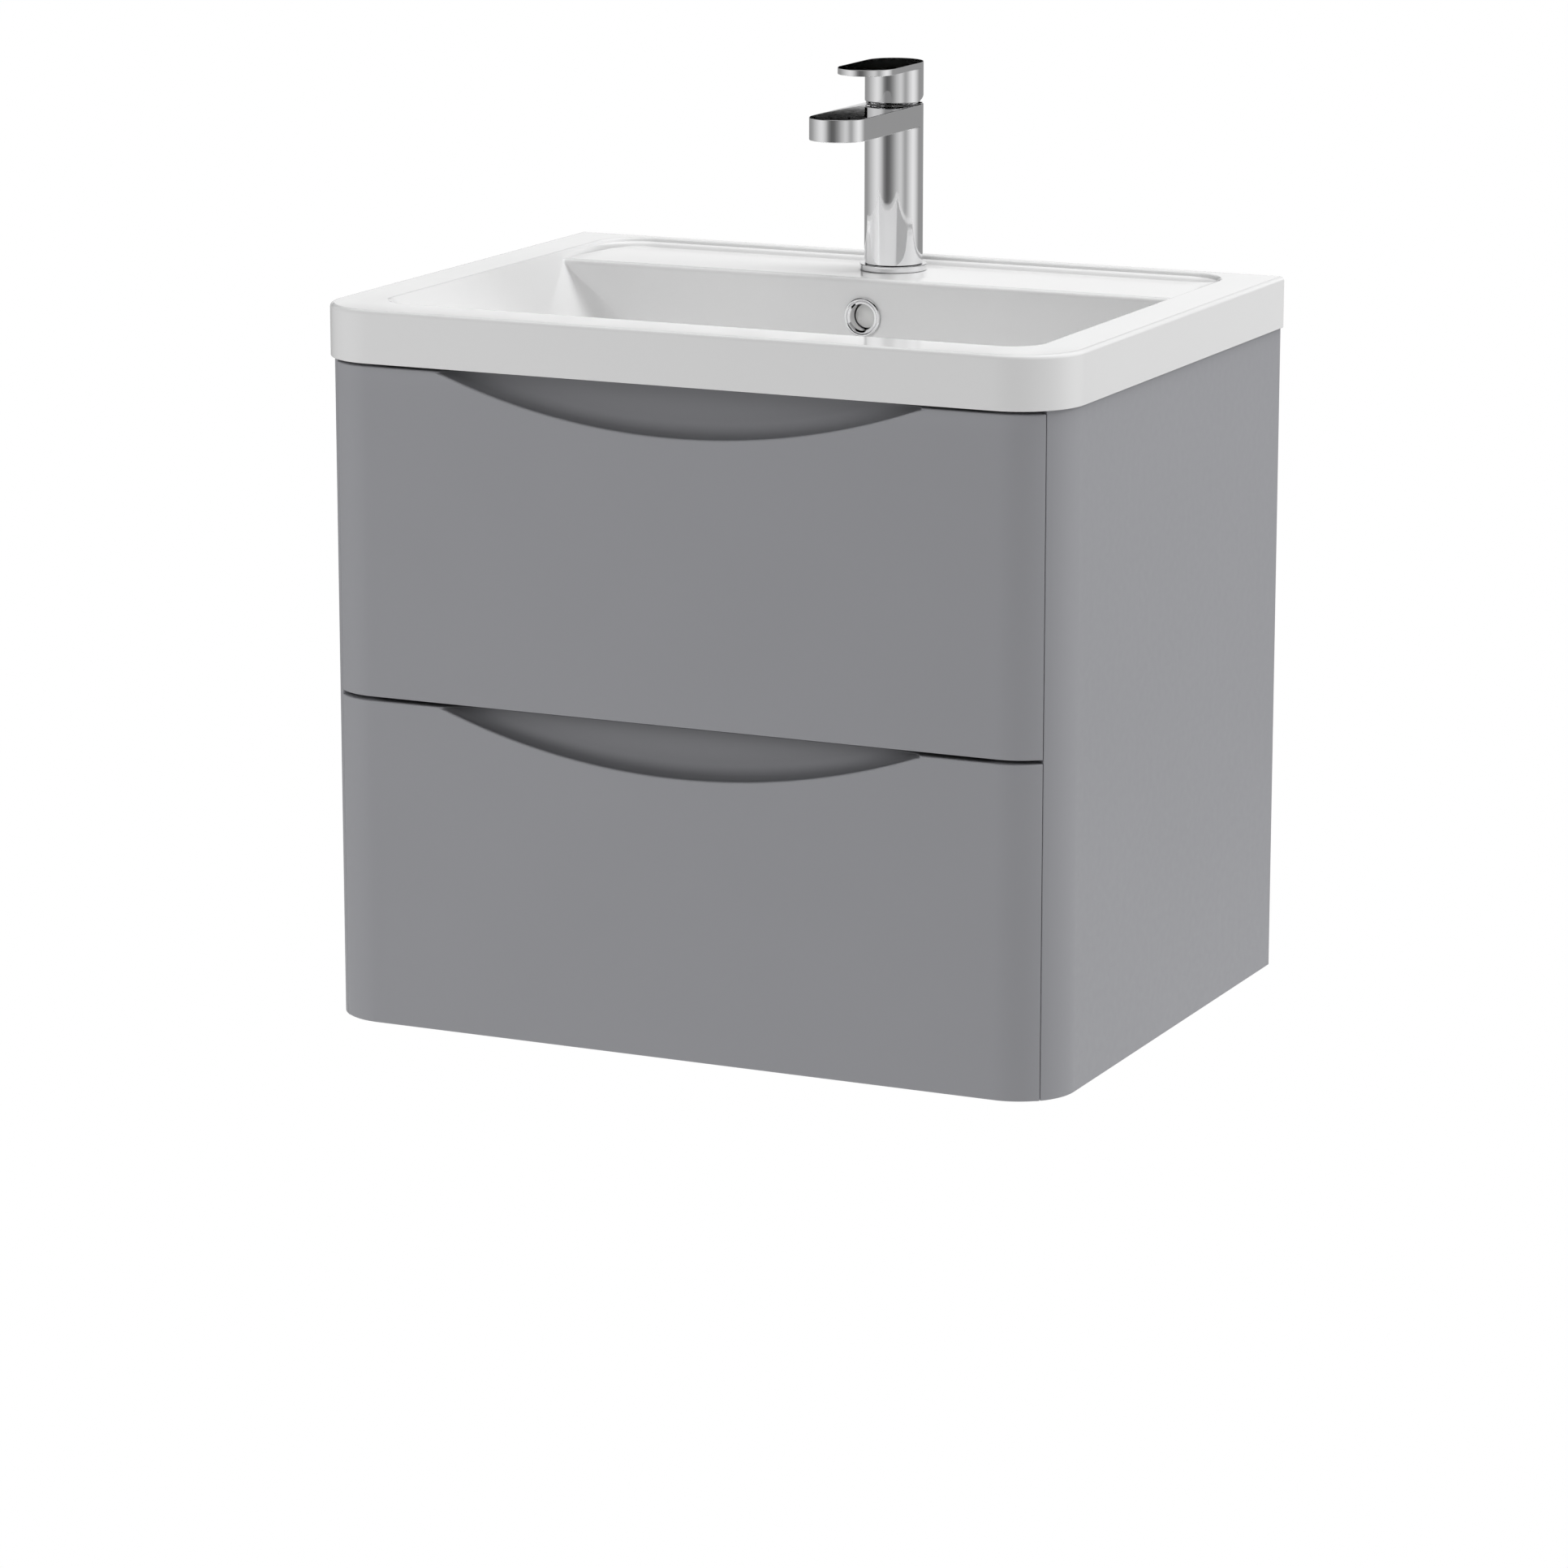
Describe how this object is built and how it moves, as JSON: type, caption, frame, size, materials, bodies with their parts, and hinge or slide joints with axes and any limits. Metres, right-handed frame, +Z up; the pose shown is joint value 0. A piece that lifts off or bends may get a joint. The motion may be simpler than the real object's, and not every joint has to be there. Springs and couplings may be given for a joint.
{
  "type": "bathroom vanity cabinet",
  "caption": "Wall-hung vanity: rounded two-drawer cabinet with arched finger recesses, moulded basin with raised rim, lever basin mixer, pop-up waste and bottle trap.",
  "frame": {"origin": "centre of the rear face of the hanging rail, on the wall plane", "axes": "+X to the right seen from the front, +Y into the wall, +Z up; the drawers open towards -Y"},
  "size_m": [0.605, 0.456, 0.7051],
  "materials": {
    "lacquered_board": "satin grey lacquered board",
    "box_laminate": "light grey laminated board",
    "basin_glaze": "gloss white",
    "chrome": "polished chrome plate",
    "zinc_steel": "zinc plated steel",
    "brass": "raw brass",
    "white_plastic": "white moulded plastic",
    "rubber_seal": "black rubber"
  },
  "bodies": {
    "cabinet": {"base_panel": "lacquered_board", "basin": "basin_glaze", "bottom_back_rail": "lacquered_board", "hanging_rail": "lacquered_board", "lower_runner_left_cabinet": "zinc_steel", "lower_runner_right_cabinet": "zinc_steel", "middle_front_rail": "lacquered_board", "overflow_ring": "chrome", "side_panel_left": "lacquered_board", "side_panel_right": "lacquered_board", "tap_aerator": "chrome", "tap_base_ring": "chrome", "tap_body": "chrome", "tap_cartridge": "white_plastic", "tap_cartridge_nut": "chrome", "tap_fixing_nut": "brass", "tap_fixing_plate": "zinc_steel", "tap_fixing_seal": "rubber_seal", "tap_fixing_spacer": "white_plastic", "tap_stud": "brass", "top_front_rail": "lacquered_board", "trap_bottle": "white_plastic", "trap_cup": "white_plastic", "trap_inlet_nut": "white_plastic", "trap_outlet_nut": "white_plastic", "trap_outlet_pipe": "white_plastic", "upper_runner_left_cabinet": "zinc_steel", "upper_runner_right_cabinet": "zinc_steel", "wall_bracket_left": "zinc_steel", "wall_bracket_right": "zinc_steel", "wall_flange": "chrome", "waste_backnut": "chrome", "waste_flange": "chrome", "waste_seal": "rubber_seal"},
    "upper_drawer": {"upper_drawer_back_left": "box_laminate", "upper_drawer_back_right": "box_laminate", "upper_drawer_floor": "box_laminate", "upper_drawer_front": "lacquered_board", "upper_drawer_notch_front": "box_laminate", "upper_drawer_notch_left": "box_laminate", "upper_drawer_notch_right": "box_laminate", "upper_drawer_side_left": "box_laminate", "upper_drawer_side_right": "box_laminate", "upper_runner_left_drawer": "zinc_steel", "upper_runner_right_drawer": "zinc_steel"},
    "upper_runner_slider": {"upper_runner_left_middle": "zinc_steel", "upper_runner_right_middle": "zinc_steel"},
    "lower_drawer": {"lower_drawer_back": "box_laminate", "lower_drawer_floor": "box_laminate", "lower_drawer_front": "lacquered_board", "lower_drawer_side_left": "box_laminate", "lower_drawer_side_right": "box_laminate", "lower_runner_left_drawer": "zinc_steel", "lower_runner_right_drawer": "zinc_steel"},
    "lower_runner_slider": {"lower_runner_left_middle": "zinc_steel", "lower_runner_right_middle": "zinc_steel"},
    "tap_turner": {"tap_rotor": "white_plastic"},
    "tap_handle": {"tap_lever": "chrome", "tap_stem": "brass"},
    "waste_plug": {"waste_plug": "chrome"}
  },
  "joints": [
    {"name": "upper_drawer_slide", "type": "slide", "parent": "cabinet", "child": "upper_drawer", "axis": [0, -1, 0], "range_m": [0, 0.35]},
    {"name": "upper_runner_slide", "type": "slide", "parent": "cabinet", "child": "upper_runner_slider", "axis": [0, -1, 0], "range_m": [0, 0.175]},
    {"name": "lower_drawer_slide", "type": "slide", "parent": "cabinet", "child": "lower_drawer", "axis": [0, -1, 0], "range_m": [0, 0.35]},
    {"name": "lower_runner_slide", "type": "slide", "parent": "cabinet", "child": "lower_runner_slider", "axis": [0, -1, 0], "range_m": [0, 0.175]},
    {"name": "tap_turn", "type": "hinge", "parent": "cabinet", "child": "tap_turner", "pos_m": [0, -0.0605, 0.2215], "axis": [0, 0, 1], "range_deg": [-45, 45]},
    {"name": "tap_lift", "type": "hinge", "parent": "tap_turner", "child": "tap_handle", "pos_m": [0, -0.0605, 0.2215], "axis": [-1, 0, 0], "range_deg": [0, 18]},
    {"name": "waste_plug_lift", "type": "slide", "parent": "cabinet", "child": "waste_plug", "axis": [0, 0, 1], "range_m": [0, 0.008]}
  ],
  "couplings": [
    {"joint": "upper_runner_slide", "follows": "upper_drawer_slide", "ratio": 0.5},
    {"joint": "lower_runner_slide", "follows": "lower_drawer_slide", "ratio": 0.5}
  ]
}
